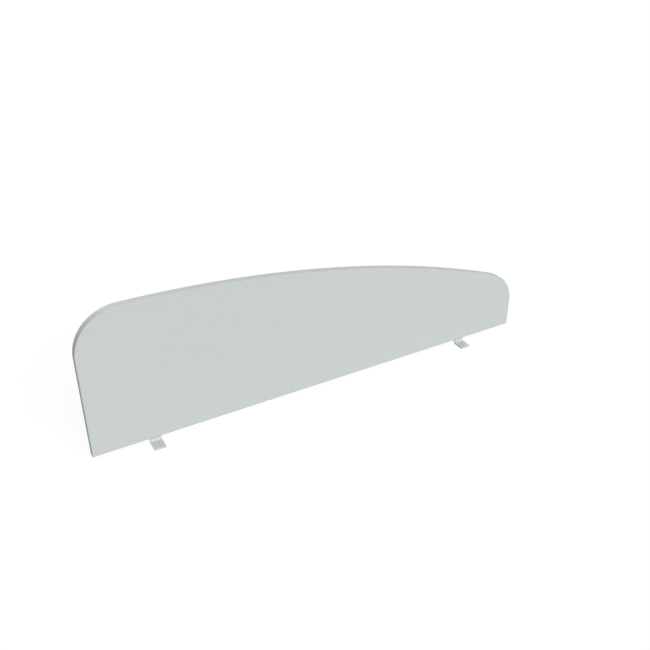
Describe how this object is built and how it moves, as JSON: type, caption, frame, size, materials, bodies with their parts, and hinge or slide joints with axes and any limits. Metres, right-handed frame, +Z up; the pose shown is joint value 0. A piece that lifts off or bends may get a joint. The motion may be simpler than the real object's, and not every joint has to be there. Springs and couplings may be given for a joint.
{
  "type": "desk privacy screen",
  "caption": "Light grey laminated desk screen whose crown falls in an arc from a tall end to a low end, on bent steel brackets that reach under the desktop.",
  "frame": {"origin": "middle of the panel's flat bottom edge, on the line where it stands over the desktop", "axes": "+X along the panel from its tall end to its low end, -Y the front that faces the person at the desk, +Z up"},
  "size_m": [1.6, 0.0522, 0.51],
  "materials": {
    "chipboard": "raw pressed chipboard",
    "laminate": "light grey decor laminate, fine pearl texture",
    "edge_band": "light grey ABS edge band, satin",
    "bracket_paint": "light grey powder coat on steel",
    "insert_steel": "yellow-passivated zinc on steel",
    "screw_steel": "bright zinc on steel"
  },
  "bodies": {
    "root": {"core_board": "chipboard", "front_facing": "laminate", "rear_facing": "laminate", "contour_edge_band": "edge_band", "bottom_edge_band": "edge_band", "left_bracket": "bracket_paint", "left_bracket_inserts": "insert_steel", "left_bracket_screws": "screw_steel", "right_bracket": "bracket_paint", "right_bracket_inserts": "insert_steel", "right_bracket_screws": "screw_steel"}
  },
  "joints": []
}
